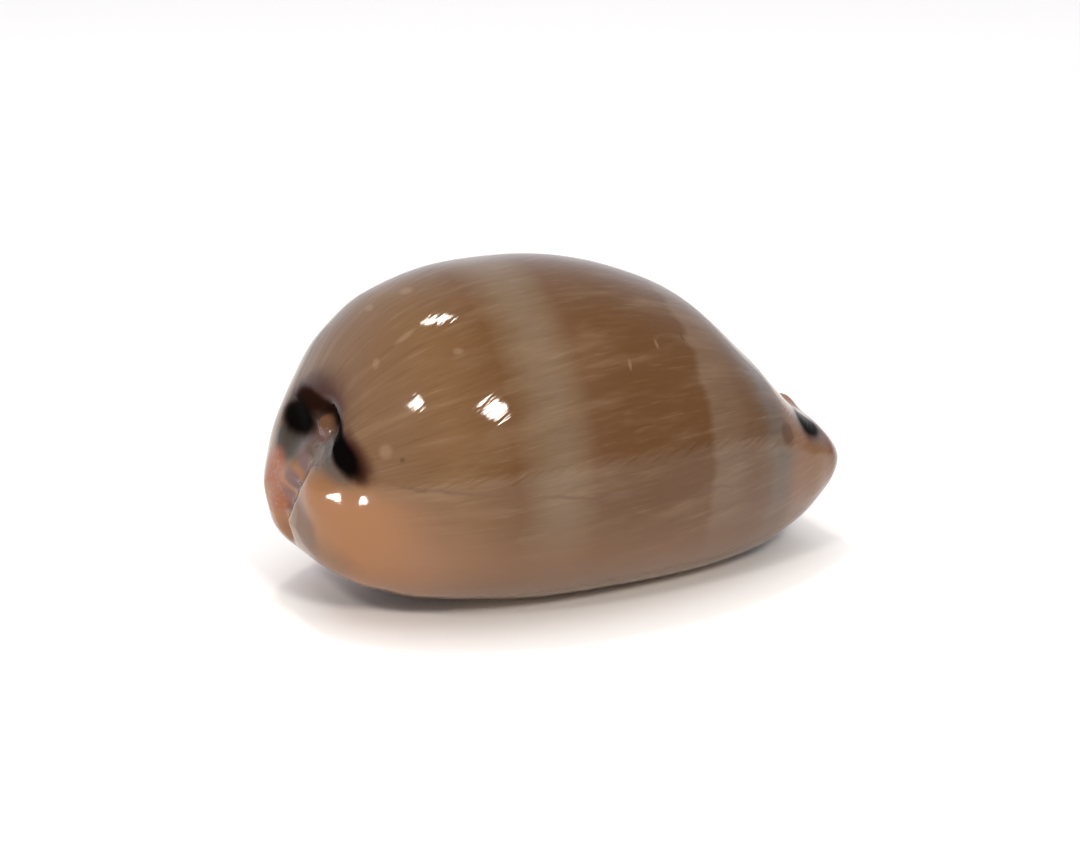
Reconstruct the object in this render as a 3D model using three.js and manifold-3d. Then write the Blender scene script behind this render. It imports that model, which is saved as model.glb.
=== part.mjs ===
// A cowrie shell: a brown, two-banded back, a spire sunk in a pit at the blunt end and a toothed
// slit along the whole underside. It is one closed body, as the animal grew it. Millimetres,
// +Z up, +X towards the narrow front end, -Y towards the outer lip. The origin is under the
// middle of the shell, on the surface that it rests on.

import * as THREE from "three";
import { mergeVertices } from "three/addons/utils/BufferGeometryUtils.js";
import Module from "manifold-3d";

const wasm = await Module();
wasm.setup();

// ---------------------------------------------------------------- driving dimensions

// The outside as upright hoops, from the blunt back end to the narrow front end.
//   x: place along the shell          middle, half: y of the hoop's middle, half its width
//   roof, rim, floor: heights of its highest point, of its widest level and of its underside
//   rows: rows of facets from this hoop to the next
const HOOPS = [
  { x: -22.5, middle: 0.9, half: 2.9, roof: 10.6, rim: 8.6, floor: 7.0, rows: 1 },
  { x: -22.2, middle: 0.4, half: 4.6, roof: 12.6, rim: 8.7, floor: 5.8, rows: 2 },
  { x: -21.4, middle: 0.0, half: 6.5, roof: 15.5, rim: 8.9, floor: 4.7, rows: 2 },
  { x: -20.2, middle: -0.3, half: 7.9, roof: 18.1, rim: 9.2, floor: 3.7, rows: 3 },
  { x: -18.2, middle: -0.3, half: 9.8, roof: 21.0, rim: 9.5, floor: 2.5, rows: 4 },
  { x: -15.0, middle: -0.3, half: 11.7, roof: 23.5, rim: 9.8, floor: 1.3, rows: 6 },
  { x: -10.0, middle: -0.3, half: 13.3, roof: 25.0, rim: 10.1, floor: 0.5, rows: 6 },
  { x: -5.0, middle: -0.3, half: 13.9, roof: 25.3, rim: 10.3, floor: 0, rows: 6 },
  { x: 0.0, middle: -0.3, half: 13.8, roof: 24.9, rim: 10.2, floor: 0, rows: 6 },
  { x: 5.0, middle: -0.2, half: 13.2, roof: 23.5, rim: 10.0, floor: 0, rows: 6 },
  { x: 10.0, middle: -0.2, half: 11.9, roof: 21.0, rim: 9.4, floor: 0.2, rows: 6 },
  { x: 15.0, middle: -0.2, half: 10.0, roof: 16.3, rim: 8.6, floor: 0.9, rows: 5 },
  { x: 19.0, middle: -0.1, half: 8.1, roof: 11.9, rim: 7.9, floor: 2.5, rows: 3 },
  { x: 21.2, middle: -0.1, half: 6.7, roof: 10.3, rim: 7.5, floor: 4.3, rows: 2 },
  { x: 22.2, middle: -0.2, half: 5.4, roof: 9.2, rim: 7.3, floor: 5.6, rows: 1 },
  { x: 22.5, middle: -0.2, half: 4.1, roof: 8.2, rim: 7.2, floor: 6.4, rows: 0 },
];

const ROOF_WALL = 1.1; // thickness of the back
const FLANK_WALL = 1.9; // of the thick sides
const LIP_HEIGHT = 2.6; // of the lips on either side of the slit
const HOLLOW_LENGTH = 0.92; // of the shell's length
const HOLLOW_END = 5.5; // half the width of the outside where the hollow ends

// The slit's middle line in plan, and its width at the back and at the front.
const SLIT_LINE = new THREE.QuadraticBezierCurve(
  new THREE.Vector2(-22.5, 1.2),
  new THREE.Vector2(0, -4.4),
  new THREE.Vector2(22.5, -0.6),
);
const SLIT_WIDTH_BACK = 1.7;
const SLIT_WIDTH_FRONT = 2.8;
const SLIT_DEPTH = 4.4; // more than the lips' height, so that it opens into the hollow's ends too
const SLIT_ROOF = 0.5; // share of the way up from the rim that it may reach at the low ends
const LIP_ROUND = 0.8; // radius of the lips' edges
const LIP_FLAT_SHARE = 0.24; // of the half width, where the underside starts to turn up
const LIP_FLAT_LEAST = 0.3; // the least width of that flat strip
const LIP_BULGE = 0.03; // rise of the underside's edges, as a share of its height off the ground

const TOOTH_GROOVE = 0.4; // depth of the grooves between the teeth
const TOOTH_REACH = 1.8; // how far they run out over the underside
const TOOTH_SHARE = 0.9; // of the underside's flat strip, which they never cross whole
const FIRST_TOOTH = -18.5;
const LAST_TOOTH = 20.0;

// The channel that climbs the back end from the slit to the spire, and the notch in the front end.
const BACK_CHANNEL = {
  radius: 0.8,
  line: [[-20.5, 1.2, 6.6], [-22.9, 1.0, 8.2], [-22.9, -0.4, 10.2], [-22.4, -1.6, 12.0], [-21.6, -2.8, 13.8]],
};
const FRONT_NOTCH = {
  radius: 1.2,
  line: [[18.5, -1.0, 6.0], [21.0, -0.8, 7.0], [23.0, -0.6, 8.6]],
};

// The spire's pit and tip, and the small ridge over the front end: middles and radii.
const SPIRE_PIT = { at: [-21.9, -2.9, 14.9], radii: [1.5, 3.4, 2.3] };
const SPIRE_TIP = { at: [-20.2, -3.2, 15.3], radii: [1.1, 1.3, 1.2] };
const FRONT_RIDGE = { at: [20.4, -0.8, 10.4], radii: [1.5, 1.9, 1.2] };

// Facets of the egg shapes and of the tubes, and the gap under which two corners are one.
const EGG_AROUND = 16;
const EGG_RINGS = 10;
const TUBE_STEPS = 10;
const TUBE_AROUND = 8;
const WELD = 1e-4;

const ROUND_STEPS = 3; // facets round each lip's edge
const FLANK_STEPS = 6; // from the underside up to the widest level
const ROOF_STEPS = 9; // from the widest level to the top
const HOLLOW_STEPS = 5; // for each quarter of the hollow

const SHELL_COLOUR = 0x8a6547;

// ---------------------------------------------------------------- hoops

// The hoop at a share of the way through the list, on smooth curves through the listed ones.
const through = (...keys) =>
  new THREE.CatmullRomCurve3(
    HOOPS.map((hoop) => new THREE.Vector3(...keys.map((key) => hoop[key]))),
    false,
    "catmullrom",
  );
const plan = through("x", "middle", "half");
const elevation = through("roof", "rim", "floor");

function hoopAt(share) {
  const [x, middle, half] = plan.getPoint(share).toArray();
  const [roof, rim, floor] = elevation.getPoint(share).toArray();
  return { x, middle, half, roof, rim, floor: Math.max(floor, 0) };
}

// Where the rows of facets lie, as shares of the way from the first hoop to the last.
const rowShares = HOOPS.flatMap((hoop, index) =>
  Array.from({ length: hoop.rows }, (_, step) => (index + step / hoop.rows) / (HOOPS.length - 1)),
).concat(1);

// A quarter of an ellipse as [across, up], from its side (turn 0) to its top (turn 1).
function quarter(across, up, turn) {
  const angle = (turn * Math.PI) / 2;
  return [across * Math.cos(angle), up * Math.sin(angle)];
}

const steps = (count) => Array.from({ length: count }, (_, n) => (n + 1) / count);

// ---------------------------------------------------------------- the outside

// Half of a hoop, from the slit's wall to the middle of the back; side is -1 or 1.
function outsideHalf(hoop, slit, side, groove) {
  const edge = hoop.floor * (1 + LIP_BULGE);
  const lip = side * (slit.middle - hoop.middle) + slit.width / 2 + groove + LIP_ROUND;
  const turnUp = Math.max(LIP_FLAT_SHARE * hoop.half, lip + LIP_FLAT_LEAST);
  const toothEnd = THREE.MathUtils.lerp(lip, turnUp, TOOTH_SHARE * Math.min(1, TOOTH_REACH / (turnUp - lip)));
  const points = [[lip - LIP_ROUND, slit.top]];
  for (const turn of [0, ...steps(ROUND_STEPS)]) {
    const [out, down] = quarter(LIP_ROUND, LIP_ROUND, turn);
    points.push([lip - out, edge + LIP_ROUND - down + groove * turn]);
  }
  points.push([toothEnd, hoop.floor], [turnUp, edge]);
  for (const turn of steps(FLANK_STEPS)) {
    const [out, down] = quarter(hoop.half - turnUp, hoop.rim - edge, 1 - turn);
    points.push([turnUp + out, hoop.rim - down]);
  }
  for (const turn of steps(ROOF_STEPS)) {
    const [out, up] = quarter(hoop.half, hoop.roof - hoop.rim, turn);
    points.push([out, hoop.rim + up]);
  }
  return points.map(([out, z]) => new THREE.Vector3(hoop.x, hoop.middle + side * out, z));
}

// The outside's loops. Every second row sets the lips back, which leaves a tooth between grooves.
function outsideLoops() {
  return rowShares.map((share, row) => {
    const hoop = hoopAt(share);
    const along = THREE.MathUtils.inverseLerp(HOOPS[0].x, HOOPS.at(-1).x, hoop.x);
    const slit = {
      middle: SLIT_LINE.getPoint(along).y,
      width: THREE.MathUtils.lerp(SLIT_WIDTH_BACK, SLIT_WIDTH_FRONT, along),
      top: Math.min(hoop.floor + SLIT_DEPTH, THREE.MathUtils.lerp(hoop.rim, hoop.roof, SLIT_ROOF)),
    };
    const toothed = hoop.x > FIRST_TOOTH && hoop.x < LAST_TOOTH;
    const groove = toothed && row % 2 ? TOOTH_GROOVE : 0;
    return [
      ...outsideHalf(hoop, slit, -1, groove),
      ...outsideHalf(hoop, slit, 1, groove).slice(0, -1).reverse(),
    ];
  });
}

// ---------------------------------------------------------------- the hollow

function hollowLoops() {
  const inside = HOOPS.filter((hoop) => hoop.half > HOLLOW_END);
  return inside.map((hoop) => {
    const half = hoop.half - FLANK_WALL;
    const roof = hoop.roof - ROOF_WALL - hoop.rim;
    const floor = hoop.floor + LIP_HEIGHT - hoop.rim;
    const corners = 4 * HOLLOW_STEPS;
    return Array.from({ length: corners }, (_, corner) => {
      const angle = (-2 * Math.PI * corner) / corners;
      const rise = Math.sin(angle) * (Math.sin(angle) > 0 ? roof : -floor);
      return new THREE.Vector3(
        hoop.x * HOLLOW_LENGTH, hoop.middle + half * Math.cos(angle), hoop.rim + rise,
      );
    });
  });
}

// ---------------------------------------------------------------- solids

// A closed skin over a row of loops that run clockwise as seen from the back end.
function loft(loops) {
  const around = loops[0].length;
  const index = [];
  for (let row = 0; row < loops.length - 1; row++)
    for (let column = 0; column < around; column++) {
      const here = row * around + column;
      const next = row * around + ((column + 1) % around);
      index.push(here, next + around, next, here, here + around, next + around);
    }
  const cap = (loop, first, flip) => {
    const outline = loop.map((point) => new THREE.Vector2(point.y, point.z));
    for (const face of THREE.ShapeUtils.triangulateShape(outline, []))
      index.push(...(flip ? face.reverse() : face).map((corner) => first + corner));
  };
  cap(loops[0], 0, true);
  cap(loops.at(-1), (loops.length - 1) * around, false);
  return new THREE.BufferGeometry().setFromPoints(loops.flat()).setIndex(index);
}

function solid(geometry) {
  geometry.deleteAttribute("normal");
  geometry.deleteAttribute("uv");
  const merged = mergeVertices(geometry, WELD);
  return new wasm.Manifold(
    new wasm.Mesh({
      numProp: 3,
      vertProperties: merged.attributes.position.array,
      triVerts: new Uint32Array(merged.index.array),
    }),
  );
}

function ball({ at, radii }) {
  return solid(new THREE.SphereGeometry(1, EGG_AROUND, EGG_RINGS).scale(...radii).translate(...at));
}

function channel({ radius, line }) {
  const section = new THREE.Shape().absarc(0, 0, radius, 0, 2 * Math.PI);
  const extrudePath = new THREE.CatmullRomCurve3(line.map((place) => new THREE.Vector3(...place)));
  return solid(new THREE.ExtrudeGeometry(section, { extrudePath, steps: TUBE_STEPS, curveSegments: TUBE_AROUND }));
}

function geometryOf(made) {
  const mesh = made.getMesh();
  const geometry = new THREE.BufferGeometry();
  geometry.setAttribute("position", new THREE.BufferAttribute(mesh.vertProperties, 3));
  geometry.setIndex(new THREE.BufferAttribute(mesh.triVerts, 1));
  return geometry;
}

// ---------------------------------------------------------------- the shell

function shellGeometry() {
  const made = solid(loft(outsideLoops()))
    .subtract(ball(SPIRE_PIT))
    .add(ball(SPIRE_TIP))
    .add(ball(FRONT_RIDGE))
    .subtract(channel(BACK_CHANNEL))
    .subtract(channel(FRONT_NOTCH))
    .subtract(solid(loft(hollowLoops())));
  const geometry = geometryOf(made);
  geometry.computeBoundingBox();
  const middle = geometry.boundingBox.getCenter(new THREE.Vector3());
  geometry.translate(-middle.x, -middle.y, -geometry.boundingBox.min.z);
  geometry.computeVertexNormals();
  return geometry;
}

const shell = new THREE.Mesh(
  shellGeometry(),
  new THREE.MeshStandardMaterial({ color: SHELL_COLOUR, roughness: 0.15, metalness: 0 }),
);
shell.name = "shell";

const cowrie = new THREE.Group();
cowrie.add(shell);

export default cowrie;
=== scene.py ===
# %% [markdown]
# # A cowrie shell
# A cowrie is a sea snail's shell that has been rolled up tight. The last turn covers all the
# others, so what is seen is one glossy egg with a long toothed slit underneath. The animal laid
# the coloured enamel on from both sides, which is why it has bands across the back, a plain
# peach rim and four dark blotches at the ends.
#
# This lesson builds that egg as a cage of hoops, opens its slit, gives it a wall, and then pushes
# the small forms of the two ends in and out, as with clay. One material carries all the colours.

import math
import random

import bmesh
import bpy
from mathutils import Matrix, Vector


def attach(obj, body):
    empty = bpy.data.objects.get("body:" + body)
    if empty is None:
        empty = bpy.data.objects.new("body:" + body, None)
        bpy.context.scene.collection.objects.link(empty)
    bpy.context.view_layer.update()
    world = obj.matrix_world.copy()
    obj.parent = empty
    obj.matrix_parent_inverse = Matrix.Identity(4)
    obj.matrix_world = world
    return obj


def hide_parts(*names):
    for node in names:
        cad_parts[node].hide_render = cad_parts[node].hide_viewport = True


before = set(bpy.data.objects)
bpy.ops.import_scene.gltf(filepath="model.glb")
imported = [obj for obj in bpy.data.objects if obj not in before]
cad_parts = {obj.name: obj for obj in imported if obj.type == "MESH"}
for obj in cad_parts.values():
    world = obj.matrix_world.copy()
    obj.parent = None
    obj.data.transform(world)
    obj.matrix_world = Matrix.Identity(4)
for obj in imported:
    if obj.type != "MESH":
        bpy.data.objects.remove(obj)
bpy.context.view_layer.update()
print("frame nodes:", sorted(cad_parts))

MM = 0.001

# %% [markdown]
# ## Helpers for picking and pushing
# Operators act on whatever is selected, so each step first clears the selection and then picks
# points by their place. `pick` does that with a small test on a point's place in millimetres.
# `push` moves the one point nearest to a place and takes its neighbours along by a smooth
# falloff, which is what a thumb does to clay.


# %% Picking and pushing
def pick(test, kind="VERT"):
    """Selects, in edit mode, the points whose place in millimetres passes the test."""
    bpy.ops.mesh.select_mode(type="VERT")
    bpy.ops.mesh.select_all(action="DESELECT")
    mesh = bpy.context.edit_object.data
    cage = bmesh.from_edit_mesh(mesh)
    for point in cage.verts:
        if test(point.co / MM):
            point.select_set(True)
    cage.select_flush(True)
    bmesh.update_edit_mesh(mesh)
    bpy.ops.mesh.select_mode(type=kind)


def push(at, by, reach):
    """Moves the point nearest to a place by some millimetres, with all that is within reach."""
    bpy.ops.mesh.select_all(action="DESELECT")
    mesh = bpy.context.edit_object.data
    points = bmesh.from_edit_mesh(mesh).verts
    target = Vector(at) * MM
    nearest = min(points, key=lambda point: (point.co - target).length_squared)
    nearest.select_set(True)
    bmesh.update_edit_mesh(mesh)
    bpy.ops.transform.translate(
        value=Vector(by) * MM,
        use_proportional_edit=True,
        proportional_edit_falloff="SMOOTH",
        proportional_size=reach * MM,
        use_proportional_connected=False,
    )


def finish_with(piece, name, kind, **settings):
    """Adds a modifier with its settings and applies it at once."""
    modifier = piece.modifiers.new(name, kind)
    for key, value in settings.items():
        setattr(modifier, key, value)
    bpy.ops.object.modifier_apply(modifier=modifier.name)
    print(name, "->", len(piece.data.vertices), "points")


# %% [markdown]
# ## The outside as hoops
# The shell's shape is easiest to read as hoops across it: how wide each is, how high its top,
# its widest level and its underside. Sixteen measured hoops are enough, because the growth of a
# shell is smooth, and a smooth curve through them gives any hoop between. The numbers are
# millimetres: place, middle, half width, then the heights of the roof, the rim and the floor.

# %% Hoops
HOOPS = [
    (-22.4, 0.9, 2.9, 10.6, 8.6, 7.0),
    (-22.1, 0.4, 4.6, 12.6, 8.7, 5.8),
    (-21.4, 0.0, 6.5, 15.5, 8.9, 4.7),
    (-20.2, -0.3, 7.9, 18.1, 9.2, 3.7),
    (-18.2, -0.3, 9.8, 21.0, 9.5, 2.5),
    (-15.0, -0.3, 11.7, 23.5, 9.8, 1.3),
    (-10.0, -0.3, 13.3, 25.0, 10.1, 0.5),
    (-5.0, -0.3, 13.9, 25.3, 10.3, 0.0),
    (0.0, -0.3, 13.8, 24.9, 10.2, 0.0),
    (5.0, -0.2, 13.2, 23.5, 10.0, 0.0),
    (10.0, -0.2, 11.9, 21.0, 9.4, 0.2),
    (15.0, -0.2, 10.0, 16.3, 8.6, 0.9),
    (19.0, -0.1, 8.1, 11.9, 7.9, 2.5),
    (21.2, -0.1, 6.7, 10.3, 7.5, 4.3),
    (22.2, -0.2, 5.4, 9.2, 7.3, 5.6),
    (22.5, -0.2, 4.1, 8.2, 7.2, 6.4),
]
BACK_END = HOOPS[0][0]
FRONT_END = HOOPS[-1][0]
TOOTH_PITCH = 1.7
ROW = TOOTH_PITCH / 2
AROUND = 32
ROWS_START, ROWS_END = -19.0, 19.6


def smooth(before, low, high, after, share):
    """A Catmull-Rom blend of four neighbouring values."""
    return 0.5 * (
        2 * low
        + (high - before) * share
        + (2 * before - 5 * low + 4 * high - after) * share**2
        + (3 * low - before - 3 * high + after) * share**3
    )


def hoop_at(x):
    """Middle, half width, roof, rim and floor at a place along the shell."""
    last = len(HOOPS) - 2
    index = max(i for i in range(last + 1) if HOOPS[i][0] <= x or i == 0)
    low, high = HOOPS[index], HOOPS[index + 1]
    before, after = HOOPS[max(index - 1, 0)], HOOPS[min(index + 2, last + 1)]
    share = (x - low[0]) / (high[0] - low[0])
    return [smooth(before[k], low[k], high[k], after[k], share) for k in range(1, 6)]


def places_along():
    """Where the hoops stand: close together round both ends, a row apart between them."""
    ends = [BACK_END, -22.32, -22.1, -21.8, -21.4, -20.9, -20.3, -19.6]
    rows = [ROWS_START + ROW * n for n in range(int((ROWS_END - ROWS_START) / ROW) + 1)]
    front = [20.3, 20.9, 21.4, 21.8, 22.15, 22.4, FRONT_END]
    return ends + rows + front


print(len(places_along()), "hoops of", AROUND, "points")

# %% [markdown]
# ## The slit's line
# The opening isn't straight: it bows towards the outer lip in the middle and turns back at the
# blunt end. Three points and the formula of a quadratic curve give that bow, and the slit widens
# evenly from back to front.

# %% The slit
FLAT_SHARE = 0.24
LIP_SPAN = 1.1
LIP_MARGIN = 0.15
TOOTH_CUT = 0.75
TOOTH_RISE = 0.9
TOOTH_RUN_OUT = 0.35
SLIT_POINTS = (1.2, -4.4, -0.6)
SLIT_HALF_WIDTHS = (0.85, 1.4)
FIRST_TOOTH = -18.5
LAST_TOOTH = 20.0


def slit_at(x):
    """The slit's middle and half its width at a place along the shell."""
    share = (x - BACK_END) / (FRONT_END - BACK_END)
    start, pull, end = SLIT_POINTS
    middle = (1 - share) ** 2 * start + 2 * share * (1 - share) * pull + share**2 * end
    narrow, wide = SLIT_HALF_WIDTHS
    return middle, narrow + share * (wide - narrow)


# %% [markdown]
# ## One hoop, as by hand
# Each hoop starts as a plain circle that stands across the shell. Its upper half is stretched to
# the roof and its lower half to the underside. The lower half is then parted in the middle, and
# the straight edge that this leaves is cut into five: two flat strips that the shell stands on,
# two lips, and the slit between them. Extruding one section along the shell would also work,
# but hoops made one by one can each be checked by their own numbers.

# %% A hoop
LIP_AT, SHOULDER_AT = 0.2, 0.6  # where cutting the flat edge in five puts its inner points
NEARBY = 0.1  # of half that edge, when picking them
TOUCH = 0.01
HALF_STEP = math.pi / AROUND
STANDING = (Matrix.Rotation(HALF_STEP, 3, "X") @ Matrix.Rotation(math.pi / 2, 3, "Y")).to_euler()
SAME = 1e-3


def stretch(test, value, centre):
    pick(test)
    bpy.ops.transform.resize(value=value, center_override=Vector(centre) * MM)


def shift(test, by):
    pick(test)
    bpy.ops.transform.translate(value=Vector(by) * MM)


def add_hoop(x, toothed):
    middle, half, roof, rim, floor = hoop_at(x)
    floor = max(floor, 0)
    slit, slit_half = slit_at(x)
    aside = slit - middle
    flat = max(FLAT_SHARE * half, abs(aside) + slit_half + LIP_SPAN + LIP_MARGIN)
    edge = flat + (half - flat) * math.sin(HALF_STEP)
    centre = (x, middle, rim)

    def low(point):
        return abs(point.x - x) < SAME and point.z < rim

    def high(point):
        return abs(point.x - x) < SAME and point.z > rim

    def strip(near, far):
        return lambda p: low(p) and near * edge < abs(p.y - middle) < far * edge

    bpy.ops.mesh.primitive_circle_add(
        vertices=AROUND, radius=half * MM, location=Vector(centre) * MM, rotation=STANDING
    )
    stretch(high, (1, 1, (roof - rim) / half), centre)
    stretch(low, (1, (half - flat) / half, (rim - floor) / half), centre)
    shift(lambda p: low(p) and p.y > middle, (0, flat, 0))
    shift(lambda p: low(p) and p.y < middle, (0, -flat, 0))
    stretch(strip(0, 1 + TOUCH), (1, 1, 0), (x, middle, floor))
    bpy.ops.mesh.subdivide(number_cuts=4)

    cut = TOOTH_CUT if toothed else 0
    lips = strip(LIP_AT - NEARBY, LIP_AT + NEARBY)
    shoulders = strip(SHOULDER_AT - NEARBY, SHOULDER_AT + NEARBY)
    stretch(shoulders, (1, (slit_half + LIP_SPAN) / (SHOULDER_AT * edge), 1), centre)
    spread = (slit_half + LIP_SPAN) / edge
    stretch(lips, (1, (slit_half + cut) / (LIP_AT * edge), 1), centre)
    if toothed:
        opened = (slit_half + cut) / edge
        shift(strip(opened - TOUCH, opened + TOUCH), (0, 0, TOOTH_RISE))
        shift(strip(spread - TOUCH, spread + TOUCH), (0, 0, TOOTH_RUN_OUT))
    shift(strip(0, spread + TOUCH), (0, aside, 0))


# %% [markdown]
# ## All the hoops
# Every second hoop along the slit has its lips set back and raised. The bridge between hoops
# then makes a row of teeth with grooves between them, half a tooth for each hoop. Smoothing will
# take away much of that depth, so it is cut too deep here. A lip is set back by less than the
# lip's own span, or it would cross its shoulder.

# %% Hoops along the shell
bpy.ops.object.select_all(action="DESELECT")
bpy.ops.mesh.primitive_circle_add(vertices=3, radius=MM)
shell = bpy.context.object
shell.name = "cowrie_shell"
bpy.ops.object.mode_set(mode="EDIT")
bpy.ops.mesh.delete(type="VERT")
places = places_along()
for row, place in enumerate(places):
    add_hoop(place, row % 2 == 1 and FIRST_TOOTH < place < LAST_TOOTH)
bpy.ops.mesh.select_all(action="SELECT")
bpy.ops.mesh.bridge_edge_loops()
print(len(places), "hoops,", len(shell.data.polygons), "faces")

# %% [markdown]
# ## Closed ends, open slit
# The first and last hoop are filled with a grid, which leaves points enough to shape the ends
# later. Then the faces between the two lips are taken out along the underside. That leaves an
# open edge round the slit, which is drawn up into the shell in two steps: the lips turn inwards,
# as on every cowrie. The slit stops a little short of the two ends. There it goes on as a channel
# and as a notch, which are pushed in below.

# %% Ends and slit
LIP_TURN = 0.8
LIP_HEIGHT = 1.5
LIP_PULL_IN = 0.965
SLIT_BACK = -21.0
SLIT_FRONT = 21.9
CAP_SPAN = 9

for end in (BACK_END, FRONT_END):
    pick(lambda p: abs(p.x - end) < SAME, "EDGE")
    bpy.ops.mesh.fill_grid(span=CAP_SPAN)


def between_lips(point):
    if not SLIT_BACK < point.x < SLIT_FRONT:
        return False
    slit, slit_half = slit_at(point.x)
    floor = max(hoop_at(point.x)[4], 0)
    near = abs(point.y - slit) < slit_half + (TOOTH_CUT + LIP_SPAN) / 2
    return near and point.z < floor + 2 * TOOTH_RISE


pick(between_lips, "FACE")
bpy.ops.mesh.delete(type="FACE")
bpy.ops.mesh.select_mode(type="EDGE")
bpy.ops.mesh.select_all(action="DESELECT")
bpy.ops.mesh.select_non_manifold(extend=False, use_wire=False, use_multi_face=False,
                                 use_non_contiguous=False, use_verts=False)
bpy.ops.mesh.extrude_edges_move(TRANSFORM_OT_translate={"value": (0, 0, LIP_TURN * MM)})
bpy.ops.mesh.extrude_edges_move(TRANSFORM_OT_translate={"value": (0, 0, LIP_HEIGHT * MM)})
bpy.ops.transform.resize(value=(LIP_PULL_IN, 1, 1), center_override=(0, 0, 0))
bpy.ops.mesh.select_all(action="SELECT")
bpy.ops.mesh.normals_make_consistent(inside=False)
bpy.ops.object.mode_set(mode="OBJECT")
print("opened:", len(shell.data.polygons), "faces")

# %% [markdown]
# ## A wall
# So far the shell is a skin with no thickness. Solidify gives it one, inwards, so that the
# outside keeps its size. The tips are only a few millimetres high, so the wall thins there: a
# vertex group says how much of the full wall each point gets.

# %% The wall
WALL = 1.1
TIP_WALL = 0.3
TIP_SPAN = 3.0

wall_share = shell.vertex_groups.new(name="wall_share")
for point in shell.data.vertices:
    x = point.co.x / MM
    from_tip = min(x - BACK_END, FRONT_END - x) / TIP_SPAN
    share = TIP_WALL + (1 - TIP_WALL) * min(max(from_tip, 0), 1)
    wall_share.add([point.index], share, "REPLACE")
finish_with(shell, "wall", "SOLIDIFY", thickness=WALL * MM, offset=-1, vertex_group="wall_share",
            material_offset=1)
finish_with(shell, "first smoothing", "SUBSURF", levels=1, render_levels=1)

# %% [markdown]
# ## The blunt end
# The spire, the shell's first small turns, lies in a pit in the blunt end. From the pit a channel
# runs down to the slit, between the smooth lobe of the outer lip and the prong of the inner one.
# Carving these with cuts would leave sharp edges, which nothing grown has, so they are pushed in
# and out of the smooth egg.

# %% Pit, channel and lobes
PIT = [
    ((-21.3, -3.0, 15.0), (1.25, 0.1, -0.2), 3.0),
    ((-21.8, 0.4, 13.8), (1.0, 0, 0), 2.8),
    ((-21.5, -1.4, 14.2), (0.5, 0, 0), 2.0),
]
CHANNEL = [(-21.6, -2.9, 13.0), (-21.9, -2.2, 12.0), (-22.1, -1.5, 11.0), (-22.3, -0.7, 10.0),
           (-22.4, 0.1, 9.0), (-22.4, 0.8, 8.0), (-22.3, 1.0, 7.0), (-22.0, 0.9, 5.9)]
CHANNEL_DEPTH = 0.9
CHANNEL_REACH = 1.25
EASED_BEFORE, EASED_ABOVE = -19.0, 7.5  # the stretch that is smoothed afterwards
LOBES = [((-21.7, -4.4, 10.6), (-0.45, -0.1, 0), 2.6), ((-22.2, 3.4, 9.4), (-0.3, 0.1, 0), 2.8)]

bpy.ops.object.mode_set(mode="EDIT")
bpy.ops.mesh.select_mode(type="VERT")
for at, by, reach in PIT + LOBES:
    push(at, by, reach)
for at in CHANNEL:
    push(at, (CHANNEL_DEPTH, 0, 0), CHANNEL_REACH)
pick(lambda p: p.x < EASED_BEFORE and p.z > EASED_ABOVE)
bpy.ops.mesh.vertices_smooth(factor=0.5, repeat=2)
print("blunt end:", len(PIT), "dents,", len(CHANNEL), "steps of channel,", len(LOBES), "lobes")

# %% [markdown]
# ## The narrow end
# The front end is cut by a notch, where the slit runs out between two blunt prongs. Above it the
# enamel is heaped up into a small knob.

# %% Knob and notch
KNOB = [((20.1, -1.8, 11.1), (0, 0, 0.75), 1.6), ((18.4, -1.6, 12.6), (0, 0, -0.3), 1.6)]
NOTCH = [((22.5, -0.6, 7.2), (-0.8, 0, 0), 2.6), ((22.3, -0.6, 5.9), (-0.7, 0, 0), 2.2)]
for at, by, reach in KNOB + NOTCH:
    push(at, by, reach)
bpy.ops.object.mode_set(mode="OBJECT")
finish_with(shell, "second smoothing", "SUBSURF", levels=1, render_levels=1)

# %% [markdown]
# ## The spire's tip
# The tip shows in the pit as a button two millimetres wide, with a fine groove round it and a
# rough crust of enamel below. These are smaller than the mesh was before, so they come after the
# second smoothing. The crust is a scatter of small pushes from a seeded random row, so that it
# comes out the same each time.

# %% Button and crust
SPIRE_TIP = Vector((-20.1, -3.0, 15.1))
BUTTON_RADIUS = 1.15
BUTTON_RISE, BUTTON_REACH = (-0.75, -0.2, 0.1), 1.3
GROOVE_STEPS = 14
GROOVE_DEPTH, GROOVE_REACH = (0.3, 0.05, 0), 0.65
CRUST_MIDDLE = Vector((-20.6, -4.2, 13.6))
CRUST_BUMPS = 16
CRUST_ACROSS, CRUST_UP = 0.8, 0.55  # how far the bumps scatter
CRUST_LOWEST, CRUST_HIGHEST = -0.22, 0.18
CRUST_SMALL, CRUST_LARGE = 0.45, 0.7

bpy.ops.object.mode_set(mode="EDIT")
bpy.ops.mesh.select_mode(type="VERT")
push(SPIRE_TIP, BUTTON_RISE, BUTTON_REACH)
for number in range(GROOVE_STEPS):
    angle = number * math.tau / GROOVE_STEPS
    ring = SPIRE_TIP + Vector((0, math.cos(angle), math.sin(angle))) * BUTTON_RADIUS
    push(ring, GROOVE_DEPTH, GROOVE_REACH)
random.seed(7)
for _ in range(CRUST_BUMPS):
    spread = Vector((0, random.gauss(0, CRUST_ACROSS), random.gauss(0, CRUST_UP)))
    by = (random.uniform(CRUST_LOWEST, CRUST_HIGHEST), 0, 0)
    push(CRUST_MIDDLE + spread, by, random.uniform(CRUST_SMALL, CRUST_LARGE))
bpy.ops.object.mode_set(mode="OBJECT")
bpy.ops.object.shade_smooth()
print("shell:", len(shell.data.polygons), "faces")

# %% [markdown]
# ## Colours and nodes
# Colours are written as on a paint chart and turned into the linear values that light needs. All
# patterns are made by nodes, so one small function adds a node, sets it up and feeds its inputs,
# either with values or with the outputs of other nodes.

# %% Colours and nodes


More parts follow.
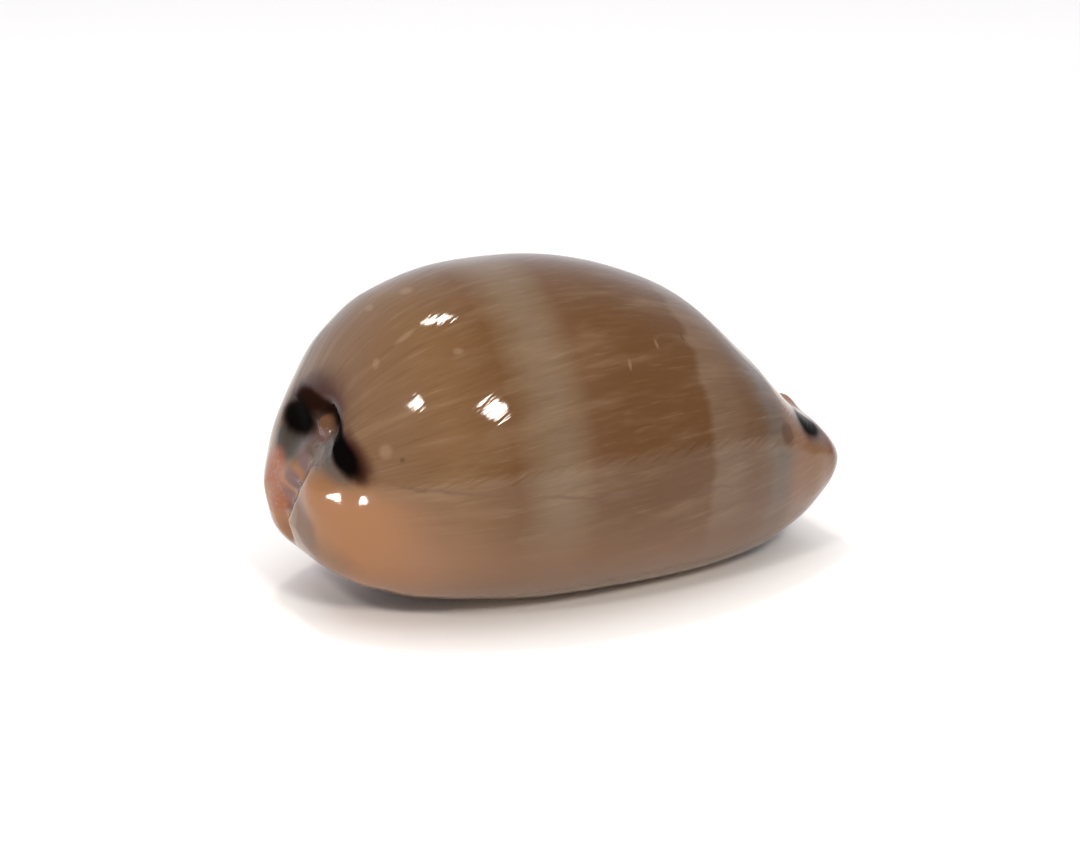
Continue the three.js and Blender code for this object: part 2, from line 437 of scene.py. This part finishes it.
def linear(code):
    """Turns a colour such as #a5785a into linear red, green, blue and full opacity."""
    parts = [int(code[i:i + 2], 16) / 255 for i in (1, 3, 5)]
    return [c / 12.92 if c <= 0.04045 else ((c + 0.055) / 1.055) ** 2.4 for c in parts] + [1]


def add(kind, feeds, **settings):
    """Adds a node to the tree at hand, set up and fed, and gives its first output."""
    node = nodes.new(kind)
    for key, value in settings.items():
        setattr(node, key, value)
    for key, value in feeds.items():
        if isinstance(value, bpy.types.NodeSocket):
            links.new(value, node.inputs[key])
        else:
            node.inputs[key].default_value = value
    return next(output for output in node.outputs if output.enabled)


def material_named(name):
    made = bpy.data.materials.new(name)
    made.use_nodes = True
    return made


# %% [markdown]
# ## Places on the shell
# The enamel grows from the lips, so its marks follow the shell. Three measures say where a point
# is: its place along the shell, its turn about the long axis, and its height. Stretching a noise
# along the turn gives streaks that run together at both ends, as the growth lines do.

# %% Measures of place
enamel = material_named("shell enamel, laid on by the animal")
nodes, links = enamel.node_tree.nodes, enamel.node_tree.links
shader = nodes["Principled BSDF"]

AXIS_HEIGHT = 9.5
AXIS_RADIUS = 12.0

coordinates = nodes.new("ShaderNodeTexCoord").outputs["Object"]
place = add("ShaderNodeMapping", {"Vector": coordinates, "Scale": (1 / MM,) * 3})
split = nodes.new("ShaderNodeSeparateXYZ")
links.new(place, split.inputs[0])
along, aside, height = split.outputs
above_axis = add("ShaderNodeMath", {0: height, 1: AXIS_HEIGHT}, operation="SUBTRACT")
turn = add("ShaderNodeMath", {0: aside, 1: above_axis}, operation="ARCTAN2")
round_it = add("ShaderNodeMath", {0: turn, 1: AXIS_RADIUS}, operation="MULTIPLY")
unrolled = add("ShaderNodeCombineXYZ", {0: along, 1: round_it})


def streaks(across, length, lean, detail, roughness):
    """Noise in streaks: their width and length in millimetres, and how steeply they rise."""
    stretched = add("ShaderNodeMapping", {
        "Vector": unrolled, "Scale": (length, across, 1), "Rotation": (0, 0, math.radians(lean)),
    }, vector_type="TEXTURE")
    return add("ShaderNodeTexNoise", {"Vector": stretched, "Scale": 1.0, "Detail": detail,
                                      "Roughness": roughness})


def patches(size, detail):
    """Noise in round patches of so many millimetres."""
    return add("ShaderNodeTexNoise", {"Vector": place, "Scale": 1 / size, "Detail": detail})


def step(value, start, end, low=0.0, high=1.0):
    """A smooth rise from low to high while the value goes from start to end."""
    return add("ShaderNodeMapRange", {"Value": value, "From Min": start, "From Max": end,
                                      "To Min": low, "To Max": high},
               interpolation_type="SMOOTHSTEP")


FACTOR, UNDER, OVER, MIXED = 0, 6, 7, 2  # a Mix node's own numbers for colours


def mix(share, under, over):
    """Lays one colour over another."""
    node = nodes.new("ShaderNodeMix")
    node.data_type = "RGBA"
    for key, value in ((FACTOR, share), (UNDER, under), (OVER, over)):
        if isinstance(value, bpy.types.NodeSocket):
            links.new(value, node.inputs[key])
        else:
            node.inputs[key].default_value = linear(value) if isinstance(value, str) else value
    return node.outputs[MIXED]


broad = streaks(1.5, 9, 3, 3, 0.6)
fine = streaks(0.33, 4.6, 5, 4, 0.65)
ridges = streaks(0.36, 2.6, 24, 2, 0.5)
wobble = patches(2.2, 3)
grain = patches(0.32, 2)
print("enamel:", len(nodes), "nodes so far")

# %% [markdown]
# ## Bands across the back
# This cowrie carries two broad pale bands, and a narrow grey one in front of them. They come from
# bands of cells in the animal's mantle, so each keeps its place along the shell. A colour ramp
# over the length holds them. Its stops are in millimetres, and a little noise keeps the edges of
# the bands from being ruled lines.

# %% Bands
BANDS = [
    (-22.0, "#674f3a"), (-18.0, "#684e38"), (-14.0, "#6a4e32"), (-10.0, "#5e4127"),
    (-7.6, "#6b5742"), (-6.2, "#6c5845"), (-5.0, "#67513b"), (-3.6, "#5c4029"), (0.0, "#583b20"),
    (6.2, "#583b21"), (6.9, "#67503d"), (9.0, "#654e3b"), (10.8, "#5d432d"), (12.2, "#5c442f"),
    (13.2, "#5e4f44"), (14.4, "#5f5146"), (16.0, "#714d32"), (19.5, "#765232"), (22.0, "#633314"),
]
BAND_WAVER = 1.0
PALE_STREAK, DARK_STREAK, HAIR_STREAK = "#8d755d", "#4e311b", "#9b856e"


def ramp(value, low, high, stops):
    """A colour ramp whose stops are given in the value's own units."""
    node = nodes.new("ShaderNodeValToRGB")
    links.new(add("ShaderNodeMapRange", {"Value": value, "From Min": low, "From Max": high}),
              node.inputs[0])
    elements = node.color_ramp.elements
    while len(elements) < len(stops):
        elements.new(0.5)
    for element, (position, code) in zip(elements, stops):
        element.position = (position - low) / (high - low)
    for element, (position, code) in zip(elements, stops):
        element.color = linear(code)
    return node.outputs[0]


wavered = add("ShaderNodeMath", {0: broad, 1: 2 * BAND_WAVER, 2: -BAND_WAVER},
              operation="MULTIPLY_ADD")
wavered = add("ShaderNodeMath", {0: along, 1: wavered}, operation="ADD")
back_colour = ramp(wavered, BACK_END, FRONT_END, BANDS)
back_colour = mix(step(broad, 0.45, 0.75, 0, 0.25), back_colour, PALE_STREAK)
back_colour = mix(step(fine, 0.52, 0.3, 0, 0.22), back_colour, DARK_STREAK)
back_colour = mix(step(fine, 0.55, 0.75, 0, 0.17), back_colour, HAIR_STREAK)

# %% [markdown]
# ## Below the margin
# A thin brown line runs round the flanks where the enamel of the back meets that of the base.
# Under it the bands show through less and less, and the colour goes over to peach at the blunt
# end, pinkish grey at the edge of the base, and cream on the base itself. The margin falls
# towards the front, so its height over the base is worked out first. Each `step` then names two
# places in millimetres, and how strongly the next colour covers at the one and at the other.

# %% Margin and base
MARGIN_HEIGHT = 9.6
MARGIN_FALL = 0.115
MARGIN_WAVER = 0.9
FLANK = [
    (0.0, "#7a604c"), (1.5, "#775d48"), (3.5, "#755843"), (6.0, "#74553d"), (9.0, "#6b4e36"),
    (13.0, "#6b4d35"),
]
FLANK_FRONT, FLANK_BACK, PEACH = "#664831", "#8c664c", "#8a5f3d"
THIN_LINE, CREAM = "#5c4030", "#d8c0a2"

margin = add("ShaderNodeMath", {0: along, 1: MARGIN_FALL, 2: -MARGIN_HEIGHT},
             operation="MULTIPLY_ADD")
margin = add("ShaderNodeMath", {0: height, 1: margin}, operation="ADD")
margin = add("ShaderNodeMath", {0: wobble, 1: -MARGIN_WAVER, 2: margin}, operation="MULTIPLY_ADD")

flank_colour = ramp(height, FLANK[0][0], FLANK[-1][0], FLANK)
flank_colour = mix(step(along, 3.0, 12.0, 0, 0.7), flank_colour, FLANK_FRONT)
flank_colour = mix(step(along, -8.0, -20.0), flank_colour, FLANK_BACK)
colour = mix(step(margin, -0.1, -7.0, 0.0, 0.9), back_colour, flank_colour)
lobe = add("ShaderNodeMath", {0: step(along, -14.5, -20.5), 1: step(margin, 0.8, -2.6)},
           operation="MULTIPLY")
colour = mix(lobe, colour, PEACH)
line = step(margin, -0.32, -0.1)
for limit in (step(margin, 0.12, -0.1), step(along, 13, 6, 0, 0.6), step(along, -19.0, -17.0),
              step(broad, 0.35, 0.6)):
    line = add("ShaderNodeMath", {0: line, 1: limit}, operation="MULTIPLY")
colour = mix(line, colour, THIN_LINE)
colour = mix(step(height, 1.3, 0.2, 0, 0.85), colour, CREAM)
print("enamel:", len(nodes), "nodes with bands and base")

# %% [markdown]
# ## Stains and painted shade at the ends
# Each end carries dark blotches: black in the middle, red-brown on the side of the back, and
# slate grey where thin enamel lies over the black. The spire's pit is veiled in brown, with a
# dull grey crust below the spire, and the prong of the inner lip is orange. Two grey-brown
# patches low on the blunt end are painted shade, not stain. Every stain and patch is an
# egg-shaped region, laid, turned and sized with a Mapping node, and the distance inside it says
# how strongly it covers what is under it.

# %% Stains and painted shade


def region(at, radii, turned=(0, 0, 0), ragged=0.25):
    """Distance inside an egg-shaped region: 0 in its middle, 1 at its edge."""
    local = add("ShaderNodeMapping", {
        "Vector": place, "Location": at, "Scale": radii,
        "Rotation": [math.radians(angle) for angle in turned],
    }, vector_type="TEXTURE")
    distance = nodes.new("ShaderNodeVectorMath")
    distance.operation = "LENGTH"
    links.new(local, distance.inputs[0])
    wavy = add("ShaderNodeMath", {0: wobble, 1: ragged, 2: distance.outputs["Value"]},
               operation="MULTIPLY_ADD")
    return add("ShaderNodeMath", {0: wavy, 1: ragged / 2}, operation="SUBTRACT")


BLACK, NEAR_BLACK, FRINGE, SLATE = "#070505", "#150b08", "#331408", "#3c3f40"
MAUVE, ORANGE, CRUST, PAINTED_SHADE = "#5f4a4d", "#84482a", "#63544a", "#5f4838"
CRUST_GRAIN, PRONG_STREAK = "#332a25", "#93706a"
CRUST_PLACE = ((-20.9, -3.6, 13.3), (2.2, 1.7, 1.2))
PRONG_PLACE = ((-22.2, 2.0, 9.6), (1.8, 1.4, 2.4))
STAINS_AND_PAINTED_SHADE = [
    # place, radii, turn about the long axis, strength, colour
    # the next two are painted shade: grey-brown darkening on the low edge of the blunt end
    ((-21.4, -2.6, 5.2), (2.6, 5.0, 2.2), 0, 0.5, PAINTED_SHADE),
    ((-22.3, -2.5, 7.8), (2.2, 1.6, 3.0), -20, 0.8, PAINTED_SHADE),
    ((-20.5, -2.2, 16.2), (3.0, 3.9, 3.0), 0, 0.8, "#4f3526"),
    ((-20.6, -2.0, 16.3), (2.6, 3.2, 2.0), 10, 0.9, FRINGE),
    ((-21.0, 0.2, 15.5), (2.4, 2.9, 2.0), 0, 0.85, FRINGE),
    ((-20.7, -1.6, 16.1), (2.6, 3.6, 1.1), 8, 0.85, NEAR_BLACK),
    ((-21.7, 1.2, 12.9), (2.0, 2.2, 1.5), 0, 0.9, "#2c261e"),
    ((-21.0, -2.4, 14.0), (2.4, 2.6, 1.8), 0, 0.8, "#4a3a32"),
    (*CRUST_PLACE, 0, 0.9, CRUST),
    ((-20.9, -2.5, 14.4), (1.6, 1.4, 0.6), 20, 0.8, "#55240e"),
    ((-21.9, -1.9, 11.7), (2.0, 0.8, 1.6), -38, 0.8, MAUVE),
    ((-22.2, -0.6, 10.1), (2.0, 0.8, 1.6), -38, 0.8, MAUVE),
    ((-22.2, 0.5, 8.4), (2.0, 0.8, 1.6), -25, 0.8, MAUVE),
    ((-22.2, 2.1, 10.6), (1.8, 1.6, 1.6), 0, 0.8, ORANGE),
    ((-22.3, 1.7, 8.2), (1.8, 1.2, 1.2), 0, 0.7, ORANGE),
    ((-20.6, -5.7, 13.3), (2.4, 1.2, 2.5), -50, 0.6, SLATE),
    ((-20.3, -6.7, 13.8), (2.4, 1.1, 2.9), -50, 0.9, FRINGE),
    ((-20.4, -6.3, 13.7), (2.4, 0.9, 2.6), -50, 1.0, BLACK),
    ((-20.6, -4.7, 15.4), (2.2, 0.7, 1.7), -50, 0.9, BLACK),
    ((-21.3, 0.5, 14.8), (2.4, 2.4, 1.6), 0, 1.0, BLACK),
    ((-19.6, 7.4, 13.0), (2.0, 1.3, 2.2), 50, 0.9, FRINGE),
    ((-19.7, 7.2, 12.9), (2.0, 0.9, 1.8), 50, 1.0, BLACK),
    ((19.1, -6.0, 10.5), (3.3, 2.5, 1.8), 0, 0.9, "#54300f"),
    ((19.0, -5.9, 10.7), (2.7, 2.2, 1.4), 0, 1.0, BLACK),
    ((18.9, 5.3, 10.6), (3.2, 2.4, 1.8), 0, 0.9, "#54300f"),
    ((18.8, 5.0, 10.8), (2.6, 2.0, 1.3), 0, 1.0, BLACK),
    ((15.1, -9.5, 11.3), (0.9, 1.0, 1.0), 0, 0.6, "#4a2c1a"),
    ((20.7, -1.7, 11.2), (1.5, 2.6, 0.9), 0, 0.9, ORANGE),
    ((21.8, -5.0, 8.3), (1.6, 3.2, 1.6), 0, 0.6, "#5e3516"),
    ((-20.9, -3.1, 15.1), (1.4, 0.85, 0.85), 0, 0.85, "#5e412e"),
]
STAIN_EDGE = (1.3, 0.6)

dark = 0.0
for at, radii, turned, strength, code in STAINS_AND_PAINTED_SHADE:
    inside = region(at, radii, (turned, 0, 0), ragged=0.5)
    colour = mix(step(inside, *STAIN_EDGE, 0, strength), colour, code)
    if code in (BLACK, NEAR_BLACK):
        dark = add("ShaderNodeMath", {0: dark, 1: step(inside, *STAIN_EDGE)}, operation="MAXIMUM")

crust = region(*CRUST_PLACE)
crust_grain = add("ShaderNodeMath", {0: step(crust, 1.3, 0.7), 1: step(grain, 0.6, 0.35, 0, 0.6)},
                  operation="MULTIPLY")
colour = mix(crust_grain, colour, CRUST_GRAIN)
prong = region(*PRONG_PLACE)
prong_streaks = add("ShaderNodeMath", {0: step(prong, 1.2, 0.7), 1: step(grain, 0.45, 0.75, 0, 0.5)},
                    operation="MULTIPLY")
colour = mix(prong_streaks, colour, PRONG_STREAK)
print("enamel:", len(nodes), "nodes with stains")

# %% [markdown]
# ## Chips and specks
# ## Chips, specks and painted glints
# The shell has been handled. Small pale chips and a few dark specks lie on it, each in its place.
# Two of the pale spots, high on the back towards the blunt end, are painted faint highlights.

# %% Chips, specks and painted glints
PALE, DARK = "#8f765f", "#2a1a10"
MARK_STRENGTH = 0.35
MARKS_AND_GLINTS = [
    # place, radii, turn, colour
    ((-18.3, -8.9, 14.4), (0.5, 0.5, 0.55), (0, 0, 0), PALE),
    # painted highlight: a faint glint, not a chip
    ((-17.4, -5.4, 20.0), (0.2, 0.35, 0.6), (0, 15, 0), PALE),
    ((-15.8, -0.7, 22.8), (0.3, 0.5, 0.4), (0, 0, 0), PALE),
    ((-13.2, -1.5, 24.0), (0.5, 0.6, 0.4), (0, 0, 0), PALE),
    # painted highlight: a faint glint, not a chip
    ((-12.3, -8.4, 21.0), (0.4, 0.3, 0.25), (0, 0, 0), PALE),
    ((-15.2, -5.6, 21.7), (0.9, 0.4, 0.12), (0, -32, 0), PALE),
    ((3.3, -9.7, 19.9), (0.15, 0.4, 0.45), (0, 0, 0), PALE),
    ((0.3, -11.1, 19.0), (0.15, 0.4, 0.5), (0, 10, 0), PALE),
    ((-17.4, -9.8, 13.9), (0.2, 0.2, 0.2), (0, 0, 0), DARK),
    ((6.1, -8.6, 19.8), (0.15, 0.3, 0.5), (0, -10, 0), DARK),
]
for at, radii, turned, code in MARKS_AND_GLINTS:
    mark = region(at, radii, turned, ragged=0.15)
    colour = mix(step(mark, 1.4, 0.4, 0, MARK_STRENGTH), colour, code)

# %% [markdown]
# ## Gloss
# Fresh enamel is as smooth as glazed china, so it mirrors lamps as small bright spots. Fine
# growth ridges, two hundredths of a millimetre high, break those spots into slanting streaks, and
# die away over the blunt end. The crust by the spire is dull. The black of the blotches lies deep
# in the enamel, so they mirror less of the room than the brown around them.

# %% Gloss
RIDGE_HEIGHT = 0.02
RIDGES_FADE, RIDGES_FULL, FADED = -19.5, -15.5, 0.1
GLAZED, DULL = 0.06, 0.35
ENAMEL_IOR, BLACK_IOR = 1.38, 1.03

rough = step(crust, 1.2, 0.8, GLAZED, DULL)
relief = add("ShaderNodeBump", {
    "Strength": step(along, RIDGES_FADE, RIDGES_FULL, FADED, 1.0),
    "Distance": RIDGE_HEIGHT * MM, "Height": ridges,
})
links.new(colour, shader.inputs["Base Color"])
links.new(rough, shader.inputs["Roughness"])
links.new(relief, shader.inputs["Normal"])
links.new(step(dark, 0.0, 1.0, ENAMEL_IOR, BLACK_IOR), shader.inputs["IOR"])

lining = material_named("shell lining, grown smooth")
lining_shader = lining.node_tree.nodes["Principled BSDF"]
lining_shader.inputs["Base Color"].default_value = linear("#cfc4cc")
lining_shader.inputs["Roughness"].default_value = DULL

shell.data.materials.append(enamel)
shell.data.materials.append(lining)
print("enamel:", len(nodes), "nodes in all")

# %% [markdown]
# ## The shell takes its place
# The shell rides on the frame's one moving body and stands in for its one part.

# %% In the frame
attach(shell, "root")
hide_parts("shell")

# %% [markdown]
# ## Floor and light
# The shell rests on a plain pale floor under a wide soft light from above. Five small warm lamps
# give the gloss something to mirror, each placed by its direction from the shell. The last two
# stand a hand's breadth off, just above the floor, and only the gloss takes their light.

# %% Floor and light
FLOOR_SIZE = 4.0
bpy.ops.mesh.primitive_plane_add(size=FLOOR_SIZE, location=(0, 0, 0))
floor = bpy.context.object
floor.name = "floor"
paper = material_named("white paper, matt")
paper_shader = paper.node_tree.nodes["Principled BSDF"]
paper_shader.inputs["Base Color"].default_value = linear("#f4f2f0")
paper_shader.inputs["Roughness"].default_value = 0.9
floor.data.materials.append(paper)

TARGET = Vector((-1.4, 0, 11.3)) * MM


def lamp(name, direction, distance, size, power, colour_code="#ffffff"):
    """A disc of light that shines at the shell from a direction, at a distance in metres."""
    light = bpy.data.lights.new(name, "AREA")
    light.shape = "DISK"
    light.size = size
    light.energy = power
    light.color = linear(colour_code)[:3]
    made = bpy.data.objects.new(name, light)
    towards = Vector(direction).normalized()
    made.location = TARGET + towards * distance
    made.rotation_euler = towards.to_track_quat("Z", "Y").to_euler()
    made.visible_camera = False
    bpy.context.scene.collection.objects.link(made)
    return made


soft_box = lamp("soft box", (0, -0.15, 1), 1.2, 1.6, 11.5)
soft_box.visible_glossy = False
WARM = "#fff7ee"
LAMPS = [
    # direction, distance and size in metres, power in watts, share that lights matt surfaces
    ((-0.07, 0.155, 0.985), 0.4, 0.045, 0.3, 0.04),
    ((-0.108, -0.823, 0.558), 0.4, 0.070, 0.75, 0.04),
    ((-0.631, -0.477, 0.612), 0.4, 0.048, 0.34, 0.04),
    ((-0.93, -0.35, -0.11), 0.09, 0.007, 0.008, 0.0),
    ((-0.99, -0.04, -0.10), 0.09, 0.007, 0.008, 0.0),
]
for number, (direction, distance, size, power, matt_share) in enumerate(LAMPS):
    small = lamp(f"lamp {number + 1}", direction, distance, size, power, WARM)
    small.data.diffuse_factor = matt_share
print("lights:", 1 + len(LAMPS))

# %% [markdown]
# ## The room
# The room's light is dim at the front and rises softly towards the back wall, so that the shell's
# far edges carry a cool sheen and its face stays dark and glossy. The room has a node tree of its
# own, so `nodes` and `links` now stand for that one.

# %% The room
ROOM_FRONT = 0.33
ROOM_BACK = 1.0
ROOM_TURNS = -0.1  # how far to the front the rise begins, where straight back is 1

world = bpy.data.worlds.new("room")
bpy.context.scene.world = world
world.use_nodes = True
nodes, links = world.node_tree.nodes, world.node_tree.links
background = nodes["Background"]
background.inputs["Color"].default_value = linear("#f2f6ff")
split_direction = nodes.new("ShaderNodeSeparateXYZ")
links.new(nodes.new("ShaderNodeTexCoord").outputs["Generated"], split_direction.inputs[0])
links.new(step(split_direction.outputs["Y"], ROOM_TURNS, 1.0, ROOM_FRONT, ROOM_BACK),
          background.inputs["Strength"])
bpy.context.scene.view_settings.view_transform = "Standard"

# %% [markdown]
# ## Camera
# The shell is seen a little from above and from behind its blunt end.

# %% Camera
AZIMUTH = math.radians(-27)
ELEVATION = math.radians(17)
DISTANCE = 230
back = Vector((math.sin(AZIMUTH) * math.cos(ELEVATION), -math.cos(AZIMUTH) * math.cos(ELEVATION),
               math.sin(ELEVATION)))
camera = bpy.data.objects.new("camera", bpy.data.cameras.new("camera"))
camera.data.lens = 100
camera.data.sensor_width = 36
camera.data.clip_start = 0.01
camera.location = TARGET + back * DISTANCE * MM
camera.rotation_euler = back.to_track_quat("Z", "Y").to_euler()
bpy.context.scene.collection.objects.link(camera)
bpy.context.scene.camera = camera
